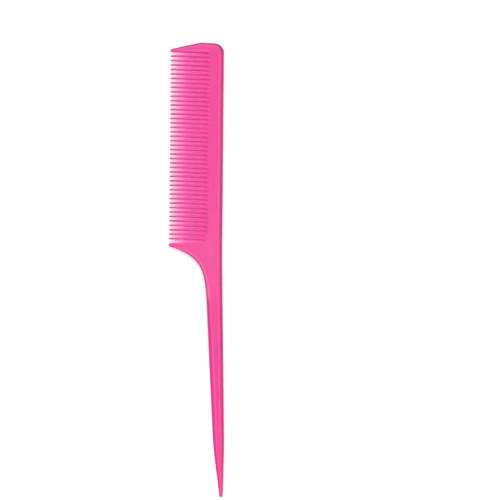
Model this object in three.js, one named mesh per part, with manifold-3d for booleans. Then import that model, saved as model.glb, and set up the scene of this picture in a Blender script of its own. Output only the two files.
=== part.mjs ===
// Rat tail comb, moulded in one piece of pink plastic, as its named features.
// Millimetres. The comb lies flat: +Z up with the underside at Z = 0, the toe of the head at +Y,
// the point of the tail at -Y, the teeth pointing to -X and the back edge at +X.
// X = 0 and Y = 0 are the middle of the overall width and length.
// The solids meet face to face on planes of constant X or constant Y.

import * as THREE from 'three';
import { ConvexGeometry } from 'three/addons/geometries/ConvexGeometry.js';
import { mergeVertices } from 'three/addons/utils/BufferGeometryUtils.js';
import Module from 'manifold-3d';

const wasm = await Module();
wasm.setup();

// Overall size
const LENGTH = 215;
const HEAD_WIDTH = 25.4;
const THICKNESS = 3.6;
const TAIL_REACH = 1.8; // how far the leaning tail stands out behind the back of the head
const TOP_Y = LENGTH / 2;
const TIP_X = -(HEAD_WIDTH + TAIL_REACH) / 2;
const BACK_X = TIP_X + HEAD_WIDTH;
const TAIL_BACK_X = -TIP_X;
const MID_Z = THICKNESS / 2;

// Head outline
const PEAK_X = 0.7; // highest point of the toe, where its slope starts
const NOSE_DROP = 3.3; // the nose lies this far below the peak
const SHOULDER_DROP = 0.3; // fall of the toe from its peak to the back corner
const CORNER_RADIUS = 4.6;
const BACK_ROUND = 2.8; // width of the rounding along the back edge
const EDGE_BEVEL = 0.8; // width of the rounding round the toe and the heel guard
const EDGE_LAND = 0.1; // square part of that edge, either side of the mid plane

// Teeth and slots
const TOOTH_COUNT = 42;
const PITCH = 2.105;
const FIRST_TOOTH_Y = 100.9;
const TOOTH_TIP_X = TIP_X + 0.1; // fine teeth end just short of the two guards
const SLOT_END_X = 4.4;
const SHORT_SLOT_END_X = 3.45; // the last slots beside the heel are cut less deep
const SHORT_SLOTS = 2;
const JOIN_X = 3.1; // plane between the teeth and the spine; the head thins from here to the tips
const ROOT_HALF = 0.8; // half width of a tooth at the mid plane
const TIP_HALF = 0.43;
const TIP_HALF_THICKNESS = 0.65;
const TOE_FLARE = 0.2; // the first slot opens this much further towards the toe at its mouth
const HEEL_FLARE = 0.45; // and the last slot this much further towards the heel
const DRAFT = 0.13; // flanks lean in by this much for each millimetre above the mid plane
const SLOT_END_STEPS = 4;

// Heel, neck and tail
const NECK_TOP_Y = 6; // plane between the head and the neck; the handle leans back from here
const TAIL_TOP_Y = -14.5; // plane between the neck and the tail
const POINT_Y = -83; // the taper steepens here
const TAIL_FRONT_X = 4.57;
const POINT_FRONT_X = 8.4;
const POINT_HALF_THICKNESS = 1.5;
const END_RADIUS = 0.8; // in plan, at the very end of the tail
const END_HALF_THICKNESS = 0.75;
const END_X = 12.35;
const HEEL_TIP_Y = 11.05; // lower edge of the heel guard's blunt tip
const HEEL_PULL = new THREE.Vector2(1.84, 6.51);
const NECK_PULL = new THREE.Vector2(3.69, 0.03);
const FRONT_ROUND = 1.4; // width of the rounding along the heel curve
const NECK_STEPS = 10;
const ROUND_STEPS = 4;
const REACH = 300; // larger than the comb, for cutting blocks

const PINK = 0xf2539d;

// ---- solids -----------------------------------------------------------------------------------

function toSolid(geometry) {
  const bare = geometry.clone();
  bare.deleteAttribute('normal');
  bare.deleteAttribute('uv');
  const merged = mergeVertices(bare, 1e-4);
  const mesh = new wasm.Mesh({
    numProp: 3,
    vertProperties: new Float32Array(merged.attributes.position.array),
    triVerts: new Uint32Array(merged.index.array),
  });
  return new wasm.Manifold(mesh);
}

function toGeometry(solid) {
  const mesh = solid.getMesh();
  const geometry = new THREE.BufferGeometry();
  geometry.setAttribute('position', new THREE.BufferAttribute(mesh.vertProperties, 3));
  geometry.setIndex(new THREE.BufferAttribute(mesh.triVerts, 1));
  return geometry;
}

function hull(points) {
  return toSolid(new ConvexGeometry(points));
}

// Joins the hulls of each pair of neighbouring sections into one long solid.
function loft(sections) {
  let solid = hull([...sections[0], ...sections[1]]);
  for (let i = 1; i < sections.length - 1; i += 1) {
    solid = solid.add(hull([...sections[i], ...sections[i + 1]]));
  }
  return solid;
}

function block(minX, maxX, minY, maxY) {
  const box = new THREE.BoxGeometry(maxX - minX, maxY - minY, REACH);
  box.translate((minX + maxX) / 2, (minY + maxY) / 2, 0);
  return toSolid(box);
}

// ---- sections and outlines --------------------------------------------------------------------

// Half thickness of the tooth field at x.
function headHalf(x) {
  return THREE.MathUtils.mapLinear(x, TIP_X, JOIN_X, TIP_HALF_THICKNESS, MID_Z);
}

// Half width of a tooth at the mid plane.
function toothHalf(x) {
  return THREE.MathUtils.mapLinear(x, TOOTH_TIP_X, SLOT_END_X, TIP_HALF, ROOT_HALF);
}

// Upper and lower points of a section in the plane y, rounded at the front and at the back.
function roundedSection(y, front, back, half, frontRound, backRound) {
  const points = [];
  for (let i = 0; i <= ROUND_STEPS; i += 1) {
    const angle = (i / ROUND_STEPS) * (Math.PI / 2);
    const inset = 1 - Math.cos(angle);
    const rise = half * Math.sin(angle);
    for (const side of [-1, 1]) {
      points.push(new THREE.Vector3(front + frontRound * inset, y, MID_Z + side * rise));
      points.push(new THREE.Vector3(back - backRound * inset, y, MID_Z + side * rise));
    }
  }
  return points;
}

// A section that thins towards the tooth tips, with a square or a rounded back edge at x = back.
function wedgeSection(y, back, backRound) {
  const points = roundedSection(y, JOIN_X, back, MID_Z, 0, backRound);
  for (const side of [-1, 1]) {
    points.push(new THREE.Vector3(TIP_X, y, MID_Z + side * TIP_HALF_THICKNESS));
  }
  return points;
}

function wedge(lowY, highY, back, backRound) {
  return hull([...wedgeSection(lowY, back, backRound), ...wedgeSection(highY, back, backRound)]);
}

function heelCurve() {
  const start = new THREE.Vector2(TIP_X, HEEL_TIP_Y);
  const end = new THREE.Vector2(TAIL_FRONT_X, TAIL_TOP_Y);
  return new THREE.CubicBezierCurve(start, HEEL_PULL, NECK_PULL, end);
}

function heelCurvePoint(y) {
  const curve = heelCurve();
  let low = 0;
  let high = 1;
  for (let i = 0; i < 40; i += 1) {
    const middle = (low + high) / 2;
    if (curve.getPoint(middle).y > y) low = middle;
    else high = middle;
  }
  return curve.getPoint((low + high) / 2).x;
}

function tailBack(y) {
  return THREE.MathUtils.mapLinear(y, NECK_TOP_Y, POINT_Y, BACK_X, TAIL_BACK_X);
}

// Plan of the head with the tooth field filled in, down to the heel curve.
function headOutline() {
  const outline = new THREE.Shape();
  outline.moveTo(TIP_X, HEEL_TIP_Y);
  outline.lineTo(TIP_X, TOP_Y - NOSE_DROP);
  outline.lineTo(PEAK_X, TOP_Y);
  outline.lineTo(BACK_X - CORNER_RADIUS, TOP_Y - SHOULDER_DROP);
  const cornerY = TOP_Y - SHOULDER_DROP - CORNER_RADIUS;
  outline.absarc(BACK_X - CORNER_RADIUS, cornerY, CORNER_RADIUS, Math.PI / 2, 0, true);
  outline.lineTo(BACK_X, TAIL_TOP_Y);
  outline.lineTo(TAIL_FRONT_X, TAIL_TOP_Y);
  const curve = heelCurve();
  outline.bezierCurveTo(curve.v2.x, curve.v2.y, curve.v1.x, curve.v1.y, curve.v0.x, curve.v0.y);
  return outline;
}

// The head before its slots are cut.
function headBlank() {
  const bevelDepth = MID_Z - EDGE_LAND;
  const plate = new THREE.ExtrudeGeometry(headOutline(), {
    depth: 2 * EDGE_LAND,
    bevelThickness: bevelDepth,
    bevelSize: EDGE_BEVEL,
    bevelOffset: -EDGE_BEVEL,
    bevelSegments: ROUND_STEPS,
    curveSegments: 10,
  });
  plate.translate(0, 0, bevelDepth);
  return toSolid(plate).intersect(wedge(TAIL_TOP_Y, TOP_Y, BACK_X, BACK_ROUND));
}

// One slot as a cutting solid: narrow at the mid plane, wider at both faces, round at its end.
// The flares move the two corners of its mouth outwards, towards the toe and towards the heel.
function slotCutter(y, endX, toeFlare, heelFlare) {
  const mouthX = TIP_X - 1;
  const halves = [];
  for (const side of [-1, 1]) {
    const points = [];
    for (const rise of [0, MID_Z + 0.2]) {
      const spread = DRAFT * rise;
      const endHalf = PITCH / 2 - toothHalf(endX) + spread;
      const mouthHalf = PITCH / 2 - toothHalf(mouthX) + spread;
      const centreX = endX - (PITCH / 2 - toothHalf(endX));
      const z = MID_Z + side * rise;
      for (let i = 0; i <= SLOT_END_STEPS; i += 1) {
        const angle = Math.PI * (i / SLOT_END_STEPS - 0.5);
        const x = centreX + endHalf * Math.cos(angle);
        points.push(new THREE.Vector3(x, y + endHalf * Math.sin(angle), z));
      }
      points.push(new THREE.Vector3(mouthX, y + mouthHalf + toeFlare, z));
      points.push(new THREE.Vector3(mouthX, y - mouthHalf - heelFlare, z));
    }
    halves.push(hull(points));
  }
  return halves[0].add(halves[1]);
}

function slotCentre(index) {
  return FIRST_TOOTH_Y + PITCH / 2 - index * PITCH;
}

function slotCutters() {
  const cutters = [];
  for (let i = 0; i <= TOOTH_COUNT; i += 1) {
    const endX = i > TOOTH_COUNT - SHORT_SLOTS ? SHORT_SLOT_END_X : SLOT_END_X;
    const toeFlare = i === 0 ? TOE_FLARE : 0;
    const heelFlare = i === TOOTH_COUNT ? HEEL_FLARE : 0;
    cutters.push(slotCutter(slotCentre(i), endX, toeFlare, heelFlare));
  }
  return cutters;
}

// ---- the named features -----------------------------------------------------------------------

function spine(blank, cutters) {
  let solid = blank.intersect(block(JOIN_X, REACH, NECK_TOP_Y, REACH));
  for (const cutter of cutters) {
    solid = solid.subtract(cutter);
  }
  return solid;
}

function toeGuard(blank, cutters) {
  return blank.intersect(block(-REACH, JOIN_X, slotCentre(0), REACH)).subtract(cutters[0]);
}

function heelGuard(blank, cutters) {
  const below = block(-REACH, JOIN_X, NECK_TOP_Y, slotCentre(TOOTH_COUNT));
  return blank.intersect(below).subtract(cutters[TOOTH_COUNT]);
}

// A fine tooth: a tapered bar, six-sided in section, widest at the mid plane, with a blunt tip.
function tooth(y) {
  const stations = [
    { x: JOIN_X, scale: 1 },
    { x: TOOTH_TIP_X + TIP_HALF, scale: 1 },
    { x: TOOTH_TIP_X, scale: 0.45 },
  ];
  const points = [];
  for (const { x, scale } of stations) {
    const half = toothHalf(x) * scale;
    const rise = headHalf(x) * scale;
    const face = Math.max(half - DRAFT * rise, 0.05);
    for (const side of [-1, 1]) {
      points.push(new THREE.Vector3(x, y + side * half, MID_Z));
      points.push(new THREE.Vector3(x, y + side * face, MID_Z + rise));
      points.push(new THREE.Vector3(x, y + side * face, MID_Z - rise));
    }
  }
  return hull(points);
}

function neck() {
  const sections = [];
  for (let i = 0; i <= NECK_STEPS; i += 1) {
    const y = THREE.MathUtils.lerp(NECK_TOP_Y, TAIL_TOP_Y, i / NECK_STEPS);
    sections.push(roundedSection(y, heelCurvePoint(y), tailBack(y), MID_Z, FRONT_ROUND, BACK_ROUND));
  }
  return loft(sections).intersect(wedge(TAIL_TOP_Y, NECK_TOP_Y, REACH, 0));
}

function tail() {
  const top = roundedSection(
    TAIL_TOP_Y, TAIL_FRONT_X, tailBack(TAIL_TOP_Y), MID_Z, FRONT_ROUND, BACK_ROUND);
  const point = roundedSection(
    POINT_Y, POINT_FRONT_X, TAIL_BACK_X, POINT_HALF_THICKNESS, FRONT_ROUND, FRONT_ROUND);
  const endY = -TOP_Y + END_RADIUS;
  const end = [];
  for (const share of [0, 0.5, 0.87, 1]) {
    const y = endY - END_RADIUS * share;
    const half = END_RADIUS * Math.sqrt(1 - share * share) + 0.01;
    const rise = END_HALF_THICKNESS * (1 - 0.6 * share);
    end.push(...roundedSection(y, END_X - half, END_X + half, rise, half * 0.6, half * 0.6));
  }
  return loft([top, point, end]);
}

// ---- the comb ---------------------------------------------------------------------------------

function plastic() {
  return new THREE.MeshStandardMaterial({ color: PINK, roughness: 0.35, metalness: 0 });
}

const comb = new THREE.Group();

function addFeature(name, solid) {
  const mesh = new THREE.Mesh(toGeometry(solid), plastic());
  mesh.name = name;
  comb.add(mesh);
}

const blank = headBlank();
const cutters = slotCutters();
addFeature('spine', spine(blank, cutters));
addFeature('toe_guard', toeGuard(blank, cutters));
addFeature('heel_guard', heelGuard(blank, cutters));
addFeature('neck', neck());
addFeature('tail', tail());
for (let i = 1; i <= TOOTH_COUNT; i += 1) {
  const number = String(i).padStart(2, '0');
  addFeature(`tooth_${number}`, tooth(FIRST_TOOTH_Y - (i - 1) * PITCH));
}

export default comb;
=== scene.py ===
"""Rat tail comb: the finished surfaces and materials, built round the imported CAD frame.

Shapes are worked out in millimetres, in the frame's axes: the teeth point to -X, the tail to -Y,
and the comb lies on the floor at Z = 0. The whole moulding is shaped as one closed surface, then
cut on the frame's own planes into one piece for each CAD node, so the pieces meet without a seam.
"""

import math

import bmesh
import bpy
import numpy as np
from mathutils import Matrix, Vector
from mathutils.geometry import delaunay_2d_cdt


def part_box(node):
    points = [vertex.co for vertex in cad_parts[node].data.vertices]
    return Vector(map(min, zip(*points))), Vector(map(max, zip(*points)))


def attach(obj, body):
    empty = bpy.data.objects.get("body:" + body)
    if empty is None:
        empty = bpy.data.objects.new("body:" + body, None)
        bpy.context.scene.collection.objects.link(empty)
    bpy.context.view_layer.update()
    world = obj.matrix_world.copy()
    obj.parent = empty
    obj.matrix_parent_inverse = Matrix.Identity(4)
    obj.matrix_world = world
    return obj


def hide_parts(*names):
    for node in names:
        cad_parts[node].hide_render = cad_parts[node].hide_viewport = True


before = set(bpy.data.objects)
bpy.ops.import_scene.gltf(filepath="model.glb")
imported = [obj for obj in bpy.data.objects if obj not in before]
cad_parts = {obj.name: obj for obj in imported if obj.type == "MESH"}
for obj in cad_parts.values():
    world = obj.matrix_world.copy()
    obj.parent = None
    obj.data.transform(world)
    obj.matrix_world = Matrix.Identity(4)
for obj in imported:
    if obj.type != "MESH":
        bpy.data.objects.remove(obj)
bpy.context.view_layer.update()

MM = 0.001
TOOTH_COUNT = 42


def node_box(name):
    """Lowest and highest corner of a CAD node, in millimetres."""
    low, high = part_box(name)
    return [v / MM for v in low], [v / MM for v in high]


SPINE_LOW, SPINE_HIGH = node_box("spine")
TOE_LOW, TOE_HIGH = node_box("toe_guard")
TAIL_LOW, TAIL_HIGH = node_box("tail")
FIRST_LOW, FIRST_HIGH = node_box("tooth_01")
LAST_LOW, LAST_HIGH = node_box(f"tooth_{TOOTH_COUNT:02d}")

# Planes and places that the frame fixes
JOIN_X = SPINE_LOW[0]
BACK_X = SPINE_HIGH[0]
NECK_TOP_Y = SPINE_LOW[1]
THICKNESS = SPINE_HIGH[2]
MID_Z = THICKNESS / 2
TIP_X = TOE_LOW[0]
TOP_Y = TOE_HIGH[1]
TAIL_TOP_Y = TAIL_HIGH[1]
TAIL_FRONT_X = TAIL_LOW[0]
TAIL_BACK_X = TAIL_HIGH[0]
END_Y = TAIL_LOW[1]
TOOTH_TIP_X = FIRST_LOW[0]
FIRST_TOOTH_Y = (FIRST_LOW[1] + FIRST_HIGH[1]) / 2
LAST_TOOTH_Y = (LAST_LOW[1] + LAST_HIGH[1]) / 2
PITCH = (FIRST_TOOTH_Y - LAST_TOOTH_Y) / (TOOTH_COUNT - 1)

# Teeth and slots, in millimetres
ROOT_HALF = 0.8
TIP_HALF = 0.43
SLOT_END_X = 4.4
SHORT_SLOT_END_X = 3.45
SHORT_SLOTS = 2  # next to the handle
VALLEY = 0.2  # a slot is this much shorter at the parting plane than at the surface
VALLEY_MARGIN = 0.05  # but never comes closer than this to the join with the spine
FIT_PASSES = 4  # enough for a slot end's radius to settle

# Toe, in millimetres
PEAK_X = 0.7
NOSE_DROP = 3.3
NOSE_RADIUS = 0.8
SHOULDER_DROP = 0.3
CORNER_RADIUS = 4.6
TOE_SOFT = 1.6
GUARD_CORNER = 0.4
TOE_FLARE = 0.2

# Heel, in millimetres: a curve from the tail to the guard's tip, pulled towards two points
HEEL_FLARE = 0.45
HEEL_TIP_Y = 11.05
HEEL_PULL = (1.84, 6.51)
NECK_PULL = (3.69, 0.03)
HEEL_GAP = 0.15  # the curve stops this far short of the round corner
HEEL_TURN_Y = 0.0  # about where it turns from along the comb to across it

# Tail, in millimetres
POINT_Y = -83.0
POINT_FRONT_X = 8.4
END_X = 12.35
END_RADIUS = 0.8
END_CENTRE_Y = END_Y + END_RADIUS
HANDLE_SOFT = 6.0

# Thickness, in millimetres
TIP_HALF_THICKNESS = 0.65
POINT_HALF_THICKNESS = 1.5
END_HALF_THICKNESS = 0.7
ACROSS_SOFT = 1.0
ALONG_SOFT = 8.0

# Width of the rounding along each edge, in millimetres
GUARD_ROUND = 0.3
NOSE_ROUND = 0.45
TOP_ROUND = 1.3
TOP_ROUND_REACH = 8.0
BACK_ROUND = 2.6
HEEL_CORNER_ROUND = 0.32
HEEL_TIP_ROUND = 0.35
HEEL_ROUND = 1.7
HEEL_ROUND_REACH = 9.0
TOOTH_ROUND = 0.75  # of a tooth's half width
TAIL_ROUND_SHARE = 0.46  # of the local width

# Parting line, in millimetres
FLASH = 0.03  # stands out this far
FLASH_HALF = 0.05  # half its height

# How finely each stretch is divided
SMALL_CORNER_STEPS = 6
TIP_STEPS = 8
SLOT_END_STEPS = 10
FLANK_STEPS = 14
GUARD_STEPS = 16
CORNER_STEPS = 16
TOP_STEPS = 64
BACK_STEPS = 110
FRONT_STEPS = 60
HEEL_STEPS = 56
RING_STEPS = 9
GRID = 1.1
GRID_CLEARANCE = 0.45 * GRID
FILL_INSIDE = 1  # has delaunay_2d_cdt keep only the triangles inside the loop
SAME_PLACE_MM = 1e-7
ON_PLANE_M = 1e-8


def lerp(a, b, t):
    return a + (b - a) * t


def ramp(x, x0, x1, a, b):
    """Eases from a at x0 to b at x1, and stays level outside them."""
    t = min(max((x - x0) / (x1 - x0), 0.0), 1.0)
    return lerp(a, b, t * t * (3 - 2 * t))


def bent(t, knots, soft):
    """The broken line through knots at t, with each knot rounded over soft either side of it."""
    slopes = [(b[1] - a[1]) / (b[0] - a[0]) for a, b in zip(knots, knots[1:])]
    value = knots[0][1] + slopes[0] * (t - knots[0][0])
    for knot, before, after in zip(knots[1:], slopes, slopes[1:]):
        past = t - knot[0]
        if past >= soft:
            value += (after - before) * past
        elif past > -soft:
            value += (after - before) * (past + soft) ** 2 / (4 * soft)
    return value


# ---- outline ----------------------------------------------------------------------------------
# Points of the edge hold x, y and the width of the rounding there. In the whole outline each one
# also holds its lean: how far the wall moves in x from the parting plane to the flat.


def tooth_half(x):
    """Half width of a tooth at x, on the parting plane."""
    return TIP_HALF + (ROOT_HALF - TIP_HALF) * (x - TOOTH_TIP_X) / (SLOT_END_X - TOOTH_TIP_X)


def tooth_round(x):
    return TOOTH_ROUND * tooth_half(x)


def slot_y(index):
    return FIRST_TOOTH_Y + PITCH / 2 - index * PITCH


def slot_end(index):
    """A slot's round end: centre x at the parting plane, radius and lean."""
    end = SHORT_SLOT_END_X if index > TOOTH_COUNT - SHORT_SLOTS else SLOT_END_X
    lean = min(VALLEY, end - JOIN_X - VALLEY_MARGIN)
    radius = 0.0
    for _ in range(FIT_PASSES):
        radius = PITCH / 2 - tooth_half(end - lean - radius)
    return end - lean - radius, radius, lean


def arc(cx, cy, radius, start, stop, steps, first_width, last_width):
    """Points of an arc, angles in degrees, ends included."""
    points = []
    for i in range(steps + 1):
        angle = math.radians(lerp(start, stop, i / steps))
        width = lerp(first_width, last_width, i / steps)
        points.append((cx + radius * math.cos(angle), cy + radius * math.sin(angle), width))
    return points


def corner(cx, cy, start, stop, width):
    """The small round corner of a guard's tip."""
    return arc(cx, cy, GUARD_CORNER, start, stop, SMALL_CORNER_STEPS, width, width)


def flank(index, side, x_from, x_to, steps, flare=0.0):
    """One wall of a slot, between the ends, both left out. flare widens the mouth."""
    points = []
    for i in range(1, steps):
        x = lerp(x_from, x_to, i / steps)
        extra = flare * (SLOT_END_X - x) / (SLOT_END_X - TIP_X)
        y = slot_y(index) + side * (PITCH / 2 - tooth_half(x) + extra)
        points.append((x, y, tooth_round(x)))
    return points


def touch_angle(px, py, side):
    """Where the tangent from a point touches the tail's round end, as an angle in degrees."""
    x = px - END_X
    y = py - END_CENTRE_Y
    return math.degrees(math.atan2(y, x) + side * math.acos(END_RADIUS / math.hypot(x, y)))


def end_knot(angle):
    """The point of the tail's round end at an angle in degrees, as y and x."""
    turn = math.radians(angle)
    return END_CENTRE_Y + END_RADIUS * math.sin(turn), END_X + END_RADIUS * math.cos(turn)


# The long edges of the handle, as broken lines that give x for y
FRONT_TOUCH = touch_angle(POINT_FRONT_X, POINT_Y, 1)
BACK_TOUCH = touch_angle(TAIL_BACK_X, POINT_Y, -1)
FRONT_EDGE = [end_knot(FRONT_TOUCH), (POINT_Y, POINT_FRONT_X), (TAIL_TOP_Y, TAIL_FRONT_X)]
BACK_EDGE = [end_knot(BACK_TOUCH), (POINT_Y, TAIL_BACK_X), (NECK_TOP_Y, BACK_X), (TOP_Y, BACK_X)]


def handle_round(y):
    """Width of the rounding on the handle's edges: most of the way to its middle where it is slim."""
    width = bent(y, BACK_EDGE, HANDLE_SOFT) - bent(y, FRONT_EDGE, HANDLE_SOFT)
    return min(BACK_ROUND, TAIL_ROUND_SHARE * width)


def handle_points(edge, start, stop, steps):
    """Along one edge of the handle, both ends left out."""
    points = []
    for i in range(1, steps):
        y = lerp(start, stop, i / steps)
        points.append((bent(y, edge, HANDLE_SOFT), y, handle_round(y)))
    return points


def toe_points():
    """From the first slot round the toe to the back edge."""
    corner_x = TIP_X + GUARD_CORNER
    mouth_y = slot_y(0) + PITCH / 2 - tooth_half(TIP_X) + TOE_FLARE
    points = flank(0, 1, slot_end(0)[0], corner_x, GUARD_STEPS, TOE_FLARE)
    points += corner(corner_x, mouth_y + GUARD_CORNER, -90, -180, GUARD_ROUND)

    slope = NOSE_DROP / (PEAK_X - TIP_X)
    tilt = math.atan(slope)
    nose_x = TIP_X + NOSE_RADIUS
    nose_y = TOP_Y + slope * (nose_x - PEAK_X) - NOSE_RADIUS / math.cos(tilt)
    stop = 90 + math.degrees(tilt)
    points += arc(nose_x, nose_y, NOSE_RADIUS, 180, stop, TIP_STEPS, GUARD_ROUND, NOSE_ROUND)

    shoulder_x = BACK_X - CORNER_RADIUS
    shoulder_y = TOP_Y - SHOULDER_DROP
    top_edge = [(TIP_X, TOP_Y - NOSE_DROP), (PEAK_X, TOP_Y), (shoulder_x, shoulder_y)]
    for i in range(1, TOP_STEPS):
        x = lerp(nose_x, shoulder_x, i / TOP_STEPS)
        width = ramp(x, TIP_X, TIP_X + TOP_ROUND_REACH, NOSE_ROUND, TOP_ROUND)
        points.append((x, bent(x, top_edge, TOE_SOFT), width))
    centre_y = shoulder_y - CORNER_RADIUS
    points += arc(
        shoulder_x, centre_y, CORNER_RADIUS, 90, 0, CORNER_STEPS, TOP_ROUND, BACK_ROUND)
    return points


def back_points():
    """Down the back edge, round the end of the tail and up its front edge."""
    start = TOP_Y - SHOULDER_DROP - CORNER_RADIUS
    width = TAIL_ROUND_SHARE * 2 * END_RADIUS
    points = handle_points(BACK_EDGE, start, BACK_EDGE[0][0], BACK_STEPS)
    points += arc(
        END_X, END_CENTRE_Y, END_RADIUS, BACK_TOUCH, FRONT_TOUCH - 360, CORNER_STEPS, width, width)
    points += handle_points(FRONT_EDGE, FRONT_EDGE[0][0], TAIL_TOP_Y, FRONT_STEPS)
    return points


def heel_curve(t):
    """The heel's curve, from the tail at t = 0 to the guard's tip at t = 1."""
    points = [(TAIL_FRONT_X, TAIL_TOP_Y), NECK_PULL, HEEL_PULL, (TIP_X, HEEL_TIP_Y)]
    points = [Vector(p) for p in points]
    while len(points) > 1:
        points = [a.lerp(b, t) for a, b in zip(points, points[1:])]
    return points[0]


def heel_width(x, y):
    """Width of the rounding on the heel: it narrows from the tail, then to the guard's tip."""
    if y < HEEL_TURN_Y:
        return ramp(y, TAIL_TOP_Y, HEEL_TURN_Y, BACK_ROUND, HEEL_ROUND)
    return ramp(x, TIP_X, TIP_X + HEEL_ROUND_REACH, HEEL_TIP_ROUND, HEEL_ROUND)


def heel_points():
    """Up the heel curve to the tip of the heel guard and back along its upper edge."""
    last = Vector((TIP_X, HEEL_TIP_Y)) - Vector(HEEL_PULL)
    tilt = math.atan2(last.y, last.x)
    touch = tilt + math.pi / 2
    corner_x = TIP_X + GUARD_CORNER
    corner_y = HEEL_TIP_Y + math.tan(tilt) * GUARD_CORNER + GUARD_CORNER / abs(math.cos(tilt))
    touch_x = corner_x + GUARD_CORNER * math.cos(touch)
    points = []
    for i in range(HEEL_STEPS + 1):
        x, y = heel_curve(i / HEEL_STEPS)
        if x < touch_x + HEEL_GAP:
            break
        points.append((x, y, heel_width(x, y)))
    points += corner(corner_x, corner_y, math.degrees(touch), 180, HEEL_CORNER_ROUND)

    mouth_y = slot_y(TOOTH_COUNT) - PITCH / 2 + tooth_half(TIP_X) - HEEL_FLARE
    slot_x = slot_end(TOOTH_COUNT)[0]
    points += corner(corner_x, mouth_y - GUARD_CORNER, 180, 90, GUARD_ROUND)
    points += flank(TOOTH_COUNT, -1, corner_x, slot_x, GUARD_STEPS, HEEL_FLARE)
    return points


def with_lean(points, lean):
    return [(x, y, width, lean) for x, y, width in points]


def teeth_points():
    """Round every slot end and every fine tooth, from the heel to the toe."""
    points = []
    tip_x = TOOTH_TIP_X + TIP_HALF
    tip_half = tooth_half(tip_x)
    tip_width = tooth_round(tip_x)
    for index in range(TOOTH_COUNT, -1, -1):
        cx, radius, lean = slot_end(index)
        width = tooth_round(cx)
        end = arc(cx, slot_y(index), radius, -90, 90, SLOT_END_STEPS, width, width)
        points += with_lean(end, lean)
        if index == 0:
            break
        y = slot_y(index) + PITCH / 2
        tooth = flank(index, 1, cx, tip_x, FLANK_STEPS)
        tooth += arc(tip_x, y, tip_half, -90, -270, TIP_STEPS, tip_width, tip_width)
        tooth += flank(index - 1, -1, tip_x, slot_end(index - 1)[0], FLANK_STEPS)
        points += with_lean(tooth, 0.0)
    return points


def outline():
    """The edge on the parting plane, clockwise from above: x, y, width of rounding, lean."""
    return with_lean(toe_points() + back_points() + heel_points(), 0.0) + teeth_points()


def inward(points):
    """Unit normals into the material."""
    count = len(points)
    normals = []
    for i, point in enumerate(points):
        before = points[i - 1]
        after = points[(i + 1) % count]
        a = Vector((point[0] - before[0], point[1] - before[1])).normalized()
        b = Vector((after[0] - point[0], after[1] - point[1])).normalized()
        tangent = (a + b).normalized()
        normals.append(Vector((tangent.y, -tangent.x)))
    return normals


def half_thickness(x, y):
    """Half the comb's thickness: it thins to the tooth tips and towards the end of the tail."""
    across = bent(x, [(TIP_X, TIP_HALF_THICKNESS), (JOIN_X, MID_Z), (BACK_X, MID_Z)], ACROSS_SOFT)
    knots = [
        (END_Y, END_HALF_THICKNESS),
        (POINT_Y, POINT_HALF_THICKNESS),
        (TAIL_TOP_Y, MID_Z),
        (TOP_Y, MID_Z),
    ]
    return across * bent(y, knots, ALONG_SOFT) / MID_Z


# ---- surface ----------------------------------------------------------------------------------

# Steps of the rounding: inset in millimetres, further inset as a share of the rounding's width,
# and height as a share of half the thickness. The parting line keeps one height all round.
PARTING_STEP = (0.0, 0.0, 0.0)
FLASH_STEP = (FLASH, 0.0, FLASH_HALF)


def rounding_steps():
    """Every step of the rounding from the parting plane to the flat, but for the first."""
    steps = [FLASH_STEP]
    for i in range(1, RING_STEPS + 1):
        angle = math.radians(90 * i / RING_STEPS)
        steps.append((FLASH, 1 - math.cos(angle), math.sin(angle)))
    return steps


def add_ring(bm, points, normals, side, step):
    """The vertices of one step, on the upper side (1) or the lower side (-1)."""
    base, share, height = step
    ring = []
    for (x, y, width, lean), normal in zip(points, normals):
        inset = base + width * share
        px = x + normal.x * inset + lean * height
        py = y + normal.y * inset
        rise = FLASH_HALF if step == FLASH_STEP else half_thickness(px, py) * height
        ring.append(bm.verts.new((px * MM, py * MM, (MID_Z + side * rise) * MM)))
    return ring


def join_rings(bm, outer, inner, side):
    count = len(outer)
    for i in range(count):
        j = (i + 1) % count
        quad = [outer[i], outer[j], inner[j], inner[i]]
        bm.faces.new(quad if side == 1 else quad[::-1])


def inside(points, loop, clearance):
    """Which points lie inside the closed loop, and further than clearance from it."""
    a = loop
    b = np.roll(loop, -1, axis=0)
    along = b - a
    keep = []
    for p in points:
        crosses = ((a[:, 1] > p[1]) != (b[:, 1] > p[1])).nonzero()[0]
        rise = (p[1] - a[crosses, 1]) / (b[crosses, 1] - a[crosses, 1])
        hits = np.count_nonzero(a[crosses, 0] + rise * (b[crosses, 0] - a[crosses, 0]) > p[0])
        t = ((p - a) * along).sum(1) / (along**2).sum(1)
        nearest = a + along * np.clip(t, 0, 1)[:, None]
        if hits % 2 and ((nearest - p) ** 2).sum(1).min() > clearance**2:
            keep.append(p)
    return keep


def grid_points(loop):
    """Points in staggered rows inside the loop, to keep the flat's triangles even."""
    low = loop.min(0)
    high = loop.max(0)
    points = []
    for row, y in enumerate(np.arange(low[1], high[1], GRID)):
        for x in np.arange(low[0] + GRID / 2 * (row % 2), high[0], GRID):
            points.append(np.array((x, y)))
    return inside(points, loop, GRID_CLEARANCE)


def fill_flats(bm, rims):
    """Fills the flat inside the last ring of each side, with the same triangles on both."""
    loop = np.array([(v.co.x / MM, v.co.y / MM) for v in rims[1]])
    extra = grid_points(loop)
    flat = [Vector(p) for p in loop] + [Vector(p) for p in extra]
    edges = [(i, (i + 1) % len(loop)) for i in range(len(loop))]
    verts, _, faces, _, _, _ = delaunay_2d_cdt(flat, edges, [], FILL_INSIDE, SAME_PLACE_MM)
    if len(verts) != len(flat):
        raise ValueError("the flat of the comb crosses itself")
    for side in (1, -1):
        corners = list(rims[side])
        for x, y in extra:
            z = MID_Z + side * half_thickness(x, y)
            corners.append(bm.verts.new((x * MM, y * MM, z * MM)))
        for face in faces:
            triangle = [corners[i] for i in face]
            bm.faces.new(triangle if side == 1 else triangle[::-1])


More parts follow.
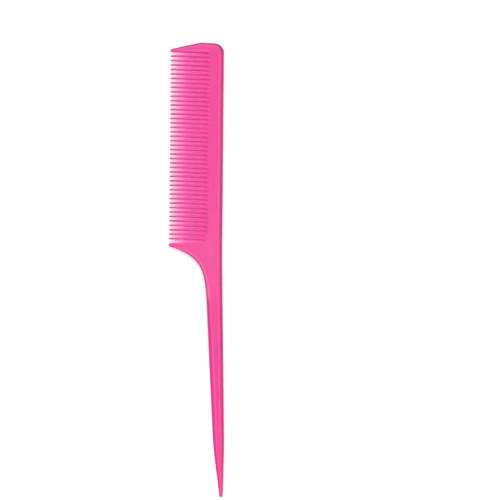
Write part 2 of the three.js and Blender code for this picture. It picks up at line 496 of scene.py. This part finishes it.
def build_moulding():
    """The whole comb as one closed bmesh, in metres, with its smooth normals kept as a layer."""
    points = outline()
    normals = inward(points)
    bm = bmesh.new()
    middle = add_ring(bm, points, normals, 1, PARTING_STEP)
    rims = {}
    for side in (1, -1):
        rims[side] = middle
        for step in rounding_steps():
            ring = add_ring(bm, points, normals, side, step)
            join_rings(bm, rims[side], ring, side)
            rims[side] = ring
    fill_flats(bm, rims)
    bmesh.ops.recalc_face_normals(bm, faces=bm.faces)
    bm.normal_update()
    bm.faces.layers.int.new("cap")
    smooth = bm.verts.layers.float_vector.new("smooth")
    for vert in bm.verts:
        vert[smooth] = vert.normal
    return bm


def cut(bm, co, normal):
    """Keeps what lies on the side that normal points away from, and closes the cut with a flat."""
    bmesh.ops.bisect_plane(
        bm,
        geom=bm.verts[:] + bm.edges[:] + bm.faces[:],
        dist=ON_PLANE_M,
        plane_co=[c * MM for c in co],
        plane_no=normal,
        clear_outer=True,
    )
    rim = [e for e in bm.edges if e.is_boundary]
    cap = bm.faces.layers.int["cap"]
    for face in bmesh.ops.holes_fill(bm, edges=rim, sides=0)["faces"]:
        face[cap] = 1


def islands(bm):
    """The separate shells of a bmesh, each as a list of faces."""
    left = set(bm.faces)
    shells = []
    while left:
        shell = set()
        front = [next(iter(left))]
        while front:
            face = front.pop()
            if face in shell:
                continue
            shell.add(face)
            for edge in face.edges:
                front.extend(f for f in edge.link_faces if f not in shell)
        left -= shell
        shells.append(list(shell))
    return shells


def middle_y(shell):
    return sum(face.calc_center_median().y for face in shell) / len(shell)


def copy_shell(bm, shell):
    """A copy of a bmesh with one shell kept."""
    part = bm.copy()
    part.faces.ensure_lookup_table()
    keep = {face.index for face in shell}
    drop = [face for face in part.faces if face.index not in keep]
    bmesh.ops.delete(part, geom=drop, context="FACES")
    return part


def add_object(data):
    """An object for a mesh, light or camera, under the same name, in the scene."""
    item = bpy.data.objects.new(data.name, data)
    bpy.context.scene.collection.objects.link(item)
    return item


def finish_piece(node, bm):
    """A scene object from a bmesh, shaded smooth with the moulding's own normals."""
    bmesh.ops.recalc_face_normals(bm, faces=bm.faces)
    bm.normal_update()
    smooth = bm.verts.layers.float_vector["smooth"]
    cap = bm.faces.layers.int["cap"]
    normals = []
    for face in bm.faces:
        face.smooth = True
        for loop in face.loops:
            normal = face.normal if face[cap] else Vector(loop.vert[smooth])
            normals.append(normal.normalized())
    mesh = bpy.data.meshes.new(f"{node}_surface")
    bm.to_mesh(mesh)
    mesh.normals_split_custom_set(normals)
    return add_object(mesh)


def build_pieces():
    """One piece for each CAD node, as a dict of node name to object."""
    whole = build_moulding()
    pieces = {}

    tail = whole.copy()
    cut(tail, (0, TAIL_TOP_Y, 0), (0, 1, 0))
    pieces["tail"] = finish_piece("tail", tail)

    neck = whole.copy()
    cut(neck, (0, TAIL_TOP_Y, 0), (0, -1, 0))
    cut(neck, (0, NECK_TOP_Y, 0), (0, 1, 0))
    pieces["neck"] = finish_piece("neck", neck)

    cut(whole, (0, NECK_TOP_Y, 0), (0, -1, 0))
    spine = whole.copy()
    cut(spine, (JOIN_X, 0, 0), (-1, 0, 0))
    pieces["spine"] = finish_piece("spine", spine)

    cut(whole, (JOIN_X, 0, 0), (1, 0, 0))
    shells = sorted(islands(whole), key=middle_y, reverse=True)
    teeth = [f"tooth_{i:02d}" for i in range(1, TOOTH_COUNT + 1)]
    names = ["toe_guard", *teeth, "heel_guard"]
    if len(shells) != len(names):
        raise ValueError(f"{len(shells)} shells where {len(names)} were expected")
    for node, shell in zip(names, shells):
        pieces[node] = finish_piece(node, copy_shell(whole, shell))
    return pieces


# ---- node helpers -----------------------------------------------------------------------------


def new_material(name):
    """A material with nodes, and its node tree."""
    material = bpy.data.materials.new(name)
    material.use_nodes = True
    return material, material.node_tree


def plug(tree, value, socket):
    """Feeds an input from another node's output, or sets it to a plain value."""
    if isinstance(value, bpy.types.NodeSocket):
        tree.links.new(value, socket)
    else:
        socket.default_value = value


def add(tree, kind, **inputs):
    """A new node. Each input is given by name, with _ for a space."""
    node = tree.nodes.new(kind)
    for name, value in inputs.items():
        plug(tree, value, node.inputs[name.replace("_", " ")])
    return node


def maths(tree, operation, *values):
    node = tree.nodes.new("ShaderNodeMath")
    node.operation = operation
    for value, socket in zip(values, node.inputs):
        plug(tree, value, socket)
    return node.outputs[0]


def product(tree, first, *others):
    for other in others:
        first = maths(tree, "MULTIPLY", first, other)
    return first


def map_range(tree, value, span, at_low, at_high, shape="LINEAR"):
    """From at_low to at_high as value crosses span, and level outside it."""
    node = add(
        tree,
        "ShaderNodeMapRange",
        Value=value,
        From_Min=span[0],
        From_Max=span[1],
        To_Min=at_low,
        To_Max=at_high,
    )
    node.interpolation_type = shape
    return node.outputs["Result"]


def ease(tree, value, span, at_low, at_high):
    """The same with a smooth step."""
    return map_range(tree, value, span, at_low, at_high, "SMOOTHSTEP")


def metres(span):
    return span[0] * MM, span[1] * MM


def ease_mm(tree, place, span, at_low, at_high):
    """The same along an axis of the comb, with the span in millimetres."""
    return ease(tree, place, metres(span), at_low, at_high)


def band_mm(tree, place, span, soft):
    """1 where a place lies in span and 0 further than soft outside it, in millimetres."""
    rise = ease_mm(tree, place, (span[0] - soft, span[0]), 0.0, 1.0)
    fall = ease_mm(tree, place, (span[1], span[1] + soft), 1.0, 0.0)
    return product(tree, rise, fall)


def mix_colour(tree, share, first, second):
    """From the first colour to the second by share."""
    node = tree.nodes.new("ShaderNodeMix")
    node.data_type = "RGBA"
    for name, value in (("A", first), ("B", second), ("Factor", share)):
        plug(tree, value, node.inputs[name])
    return node.outputs["Result"]


def opaque(colour):
    return (*colour, 1)


def axes(tree, vector):
    """The X, Y and Z of a vector, as sockets."""
    node = add(tree, "ShaderNodeSeparateXYZ", Vector=vector)
    return node.outputs["X"], node.outputs["Y"], node.outputs["Z"]


# ---- pink plastic -----------------------------------------------------------------------------
# Level is 1 where the surface lies flat and 0 where it stands upright. Spans in X and Y are
# millimetres on the comb, and each tone is the most that its colour covers.

NOISE_SPAN = (0.3, 0.7)

# Faint clouds between two near pinks. A noise is its scale, detail and roughness
CLOUD_NOISE = (90.0, 3.0, 0.55)
CLOUD_COLOURS = ((0.73, 0.030, 0.240), (0.77, 0.037, 0.260))

# Among the teeth: between the guards, and as far as the ends of the slots
GUARDS_Y = (12.0, 103.5)
GUARDS_SOFT = 0.4
SLOT_ENDS_X = (SLOT_END_X + 0.6, SLOT_END_X + 1.1)

# Fine teeth: paler where they are slim, a painted glow of light through the thin plastic, and letting
# some real light through as well
TEETH_Y = (slot_y(TOOTH_COUNT), slot_y(0))
TEETH_SOFT = 0.1
SLIM_X = (-5.0, 1.0)
SLIM_GLOW_COLOUR = (0.67, 0.160, 0.35)
THROUGH_COLOUR = (1.0, 0.26, 0.80)
SLIM_THROUGH = 0.5
TIP_THROUGH = 0.1

# Flanks of the teeth: painted glow, a paler, brighter pink standing in for light passing through the
# thin walls
FLANK_LEVEL = (0.5, 0.85)
FLANK_GLOW_COLOUR = (0.93, 0.130, 0.52)

# Tips: painted shade, a dark mauve fading in over a long stretch on the fine teeth and a short one on
# the guards
TOOTH_TIP_FADE = (TIP_X, TIP_X + 7.5)
GUARD_TIP_FADE = (TIP_X, TIP_X + 2.0)
TIP_TONE = 0.9
TIP_SHADE_COLOUR = (0.26, 0.150, 0.24)

# Outer rim: painted shade on the upright walls, deeper, and more so along the back edge than in front
# of it
RIM_LEVEL = (0.75, 0.95)
RIM_X = (9.0, 10.5)
FRONT_RIM = 0.6
RIM_SHADE_COLOUR = (0.46, 0.042, 0.165)

# Painted highlight: a bright line just inside the rim, up to the toe
LINE_RISE = (0.93, 0.97)
LINE_FALL = (0.990, 0.9985)
LINE_TONE = 0.8
LINE_HIGHLIGHT_COLOUR = (0.87, 0.066, 0.29)

# Painted shade: a dark edge round the toe
TOE_Y = (TOP_Y - 6.0, TOP_Y - 2.5)
TOE_LEVEL = (0.90, 0.995)
TOE_TONE = 0.9
TOE_SHADE_COLOUR = (0.22, 0.018, 0.090)

# Painted highlight: a bright ledge above the first slot
LEDGE_X = (-8.0, 4.0)
LEDGE_X_SOFT = 2.0
LEDGE_Y = (103.2, 103.7)
LEDGE_Y_SOFT = 0.5
LEDGE_LEVEL = (0.90, 0.97)
LEDGE_TONE = 0.9
LEDGE_HIGHLIGHT_COLOUR = (0.87, 0.060, 0.35)

# Painted highlight along the bright curved edge of the heel
HEEL_X = (7.0, 9.0)
HEEL_Y = (-12.0, 9.0)
HEEL_Y_SOFT = 4.0
HEEL_RISE = (0.72, 0.88)
HEEL_FALL = (0.97, 0.998)
HEEL_TONE = 0.9
HEEL_HIGHLIGHT_COLOUR = (0.95, 0.120, 0.37)

# Surface: flow streaks in the gloss along the comb, orange peel and handling scratches
PLASTIC_IOR = 1.49
PLASTIC_SPECULAR = 0.5
STREAK_STRETCH = (900.0, 60.0, 900.0)
STREAK_NOISE = (1.0, 4.0, 0.6)
GLOSS = (0.18, 0.28)
PEEL_NOISE = (1400.0, 2.0, 0.5)
PEEL_STRENGTH = 0.06
SCRATCH_STRENGTH = 0.08
RELIEF_M = 0.0002


def noise(tree, vector, scale, detail, roughness):
    node = add(
        tree, "ShaderNodeTexNoise", Vector=vector, Scale=scale, Detail=detail, Roughness=roughness)
    return node.outputs["Fac"]


def colour_stops(tree, value, stops):
    """The colour at value along a row of stops, each a position and a colour."""
    node = add(tree, "ShaderNodeValToRGB", Fac=value)
    elements = node.color_ramp.elements
    for position, _ in stops[1:-1]:
        elements.new(position)
    for element, (position, colour) in zip(elements, stops):
        element.position = position
        element.color = opaque(colour)
    return node.outputs["Color"]


def tooth_masks(tree, x, y):
    """Among the teeth and slots, on the fine teeth alone, and on the slim part of those."""
    before_ends = ease_mm(tree, x, SLOT_ENDS_X, 1.0, 0.0)
    among = product(tree, before_ends, band_mm(tree, y, GUARDS_Y, GUARDS_SOFT))
    toothed = band_mm(tree, y, TEETH_Y, TEETH_SOFT)
    slim = product(tree, ease_mm(tree, x, SLIM_X, 1.0, 0.0), toothed)
    return among, toothed, slim


# Painted shade: the dark fade at the tips of the teeth and the guards
def tip_shade_mask(tree, x, toothed):
    teeth = product(tree, ease_mm(tree, x, TOOTH_TIP_FADE, TIP_TONE, 0.0), toothed)
    guards = ease_mm(tree, x, GUARD_TIP_FADE, TIP_TONE, 0.0)
    return maths(tree, "MAXIMUM", guards, teeth)


# Painted glow on the upright flanks among the teeth and slots
def flank_glow_mask(tree, level, among):
    return product(tree, ease(tree, level, FLANK_LEVEL, 1.0, 0.0), among)


# Painted shade on the upright outer walls
def rim_shade_mask(tree, x, level, outside):
    rim = ease(tree, level, RIM_LEVEL, 1.0, 0.0)
    weaker = ease_mm(tree, x, RIM_X, FRONT_RIM, 1.0)
    return product(tree, rim, weaker, outside)


# Painted highlight along the start of the edge rounding
def highlight_line_mask(tree, y, level, outside):
    rise = ease(tree, level, LINE_RISE, 0.0, LINE_TONE)
    fall = ease(tree, level, LINE_FALL, 1.0, 0.0)
    below_toe = ease_mm(tree, y, TOE_Y, 1.0, 0.0)
    return product(tree, rise, fall, outside, below_toe)


# Painted shade on the edge round the toe
def toe_shade_mask(tree, y, level):
    shade = ease(tree, level, TOE_LEVEL, TOE_TONE, 0.0)
    return product(tree, shade, ease_mm(tree, y, TOE_Y, 0.0, 1.0))


# Painted highlight on the ledge above the first slot
def ledge_highlight_mask(tree, x, y, level):
    along = band_mm(tree, y, LEDGE_Y, LEDGE_Y_SOFT)
    reach = band_mm(tree, x, LEDGE_X, LEDGE_X_SOFT)
    return product(tree, along, reach, ease(tree, level, LEDGE_LEVEL, 0.0, LEDGE_TONE))


# Painted highlight on the heel's curved edge
def heel_highlight_mask(tree, x, y, level):
    rise = ease(tree, level, HEEL_RISE, 0.0, HEEL_TONE)
    fall = ease(tree, level, HEEL_FALL, 1.0, 0.0)
    curve = band_mm(tree, y, HEEL_Y, HEEL_Y_SOFT)
    front = ease_mm(tree, x, HEEL_X, 1.0, 0.0)
    return product(tree, rise, fall, curve, front)


def flow_streaks(tree, place):
    """Long fine streaks along the comb."""
    stretch = add(tree, "ShaderNodeMapping", Vector=place, Scale=STREAK_STRETCH)
    return noise(tree, stretch.outputs["Vector"], *STREAK_NOISE)


def bump(tree, height, strength):
    return add(tree, "ShaderNodeBump", Height=height, Strength=strength, Distance=RELIEF_M)


def relief(tree, place, streaks):
    """Slight orange peel under fine handling scratches."""
    peel = bump(tree, noise(tree, place, *PEEL_NOISE), PEEL_STRENGTH)
    scratches = bump(tree, streaks, SCRATCH_STRENGTH)
    plug(tree, peel.outputs["Normal"], scratches.inputs["Normal"])
    return scratches.outputs["Normal"]


def light_through(tree, solid, slim, tips):
    """Lets some light through the slim teeth, less at their tips. It comes out deep pink."""
    through = add(tree, "ShaderNodeBsdfTranslucent", Color=opaque(THROUGH_COLOUR))
    share = ease(tree, tips, (0.0, TIP_TONE), SLIM_THROUGH, TIP_THROUGH)
    blend = add(tree, "ShaderNodeMixShader", Fac=product(tree, slim, share))
    plug(tree, solid, blend.inputs[1])
    plug(tree, through.outputs["BSDF"], blend.inputs[2])
    return blend.outputs["Shader"]


def pink_plastic():
    """Semi-gloss moulded pink, with painted shade, highlights and glow by place and uprightness."""
    material, tree = new_material("pink_plastic_moulded")
    coordinates = tree.nodes.new("ShaderNodeTexCoord")
    place = coordinates.outputs["Object"]
    x, y, _ = axes(tree, place)
    level = maths(tree, "ABSOLUTE", axes(tree, coordinates.outputs["Normal"])[2])
    among, toothed, slim = tooth_masks(tree, x, y)
    outside = ease(tree, among, (0.0, 1.0), 1.0, 0.0)
    # Painted shade at the tips
    tips = tip_shade_mask(tree, x, toothed)

    clouds = noise(tree, place, *CLOUD_NOISE)
    colour = colour_stops(tree, clouds, list(zip(NOISE_SPAN, CLOUD_COLOURS)))
    # Painted glow, painted shade and painted highlights, laid over the clouds
    layers = [
        (slim, SLIM_GLOW_COLOUR),
        (highlight_line_mask(tree, y, level, outside), LINE_HIGHLIGHT_COLOUR),
        (tips, TIP_SHADE_COLOUR),
        (flank_glow_mask(tree, level, among), FLANK_GLOW_COLOUR),
        (rim_shade_mask(tree, x, level, outside), RIM_SHADE_COLOUR),
        (ledge_highlight_mask(tree, x, y, level), LEDGE_HIGHLIGHT_COLOUR),
        (heel_highlight_mask(tree, x, y, level), HEEL_HIGHLIGHT_COLOUR),
        (toe_shade_mask(tree, y, level), TOE_SHADE_COLOUR),
    ]
    for share, layer in layers:
        colour = mix_colour(tree, share, colour, opaque(layer))

    streaks = flow_streaks(tree, place)
    shader = tree.nodes["Principled BSDF"]
    shader.inputs["IOR"].default_value = PLASTIC_IOR
    shader.inputs["Specular IOR Level"].default_value = PLASTIC_SPECULAR
    plug(tree, colour, shader.inputs["Base Color"])
    plug(tree, map_range(tree, streaks, NOISE_SPAN, *GLOSS), shader.inputs["Roughness"])
    plug(tree, relief(tree, place, streaks), shader.inputs["Normal"])
    surface = light_through(tree, shader.outputs["BSDF"], slim, tips)
    plug(tree, surface, tree.nodes["Material Output"].inputs["Surface"])
    return material


# ---- floor ------------------------------------------------------------------------------------

PALE = (1.0, 0.88, 0.97)
# Painted light: a pink pool on the floor under the teeth, standing in for light through the plastic;
# it colours the floor's faint emission too
FLOOR_GLOW_STOPS = [
    (0.08, PALE),
    (0.45, (1.0, 0.34, 0.84)),
    (0.92, (1.0, 0.24, 0.75)),
    (1.0, PALE),
]
TINT_X = (TIP_X, SLOT_END_X + 1.0)
TINT_Y_SOFT = 2.0
FLOOR_LIGHT = 0.2
FLOOR_ROUGHNESS = 0.9
FLOOR_REACH_M = 3.0
FLOOR_DROP_M = 0.00002  # just clear of the comb's underside


def floor_material():
    """Pale and faintly lit from below; painted pink under the teeth stands for light through them."""
    material, tree = new_material("pale_floor")
    coordinates = tree.nodes.new("ShaderNodeTexCoord")
    x, y, _ = axes(tree, coordinates.outputs["Object"])
    across = map_range(tree, x, metres(TINT_X), 0.0, 1.0)
    glow = colour_stops(tree, across, FLOOR_GLOW_STOPS)
    along = band_mm(tree, y, GUARDS_Y, TINT_Y_SOFT)
    tint = mix_colour(tree, along, opaque(PALE), glow)
    shader = tree.nodes["Principled BSDF"]
    plug(tree, tint, shader.inputs["Base Color"])
    plug(tree, tint, shader.inputs["Emission Color"])
    shader.inputs["Emission Strength"].default_value = FLOOR_LIGHT
    shader.inputs["Roughness"].default_value = FLOOR_ROUGHNESS
    shader.inputs["Specular IOR Level"].default_value = 0.0
    return material


def make_floor():
    mesh = bpy.data.meshes.new("floor")
    near, far = -FLOOR_REACH_M, FLOOR_REACH_M
    corners = [(near, near, 0), (far, near, 0), (far, far, 0), (near, far, 0)]
    mesh.from_pydata(corners, [], [(0, 1, 2, 3)])
    mesh.materials.append(floor_material())
    floor = add_object(mesh)
    floor.location.z = -FLOOR_DROP_M


# ---- studio -----------------------------------------------------------------------------------

FRAME_WIDTH_MM = 236.5  # what the square frame spans at the comb
CAMERA_X, CAMERA_Y = 24.97, 9.56
CAMERA_ROLL = 0.54
LENS = 110.0
SENSOR = 36.0

SKY_STRENGTH = 2.3
SKY_LOW = 0.1
SKY_HEIGHTS = (0.4, 0.8)
SKY_SIDE = 0.2
SKY_ENDS = 1.6
SKY_LEAN = 0.85

MAX_BOUNCES = 24
DIFFUSE_BOUNCES = 16  # light goes to and fro many times between the teeth

STRIP_X_M = 0.33
STRIP_Z_M = 1.0
STRIP_SIZE_M = (0.06, 1.2)
STRIP_WATTS = 0.5


def make_camera():
    data = bpy.data.cameras.new("camera")
    data.lens = LENS
    data.sensor_width = SENSOR
    distance = FRAME_WIDTH_MM * LENS / SENSOR + MID_Z
    camera = add_object(data)
    camera.location = (CAMERA_X * MM, CAMERA_Y * MM, distance * MM)
    camera.rotation_euler = (0, 0, math.radians(CAMERA_ROLL))
    bpy.context.scene.camera = camera


def strip_light(name, x):
    """A soft strip beside the comb, its length along it, aimed at the middle."""
    data = bpy.data.lights.new(name, "AREA")
    data.shape = "RECTANGLE"
    data.size, data.size_y = STRIP_SIZE_M
    data.energy = STRIP_WATTS
    light = add_object(data)
    light.location = (x, 0, STRIP_Z_M)
    light.rotation_euler = (-light.location).to_track_quat("-Z", "Y").to_euler()


def studio_world():
    """Soft light from both ends of the comb: dim low down and overhead, stronger from the toe."""
    world = bpy.data.worlds.new("studio")
    world.use_nodes = True
    tree = world.node_tree
    coordinates = tree.nodes.new("ShaderNodeTexCoord")
    _, along, up = axes(tree, coordinates.outputs["Generated"])
    height = ease(tree, up, SKY_HEIGHTS, SKY_LOW, SKY_STRENGTH)
    spread = maths(tree, "MULTIPLY_ADD", maths(tree, "ABSOLUTE", along), SKY_ENDS, SKY_SIDE)
    lean = maths(tree, "MULTIPLY_ADD", along, SKY_LEAN, 1.0)
    background = tree.nodes["Background"]
    background.inputs["Color"].default_value = (1, 1, 1, 1)
    plug(tree, product(tree, spread, lean, height), background.inputs["Strength"])
    bpy.context.scene.world = world


def make_studio():
    studio_world()
    strip_light("left_strip", -STRIP_X_M)
    strip_light("right_strip", STRIP_X_M)
    make_floor()
    scene = bpy.context.scene
    scene.view_settings.view_transform = "Standard"
    scene.cycles.max_bounces = MAX_BOUNCES
    scene.cycles.diffuse_bounces = DIFFUSE_BOUNCES


make_camera()
make_studio()
plastic = pink_plastic()
for node, piece in build_pieces().items():
    piece.data.materials.append(plastic)
    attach(piece, "root")
    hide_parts(node)
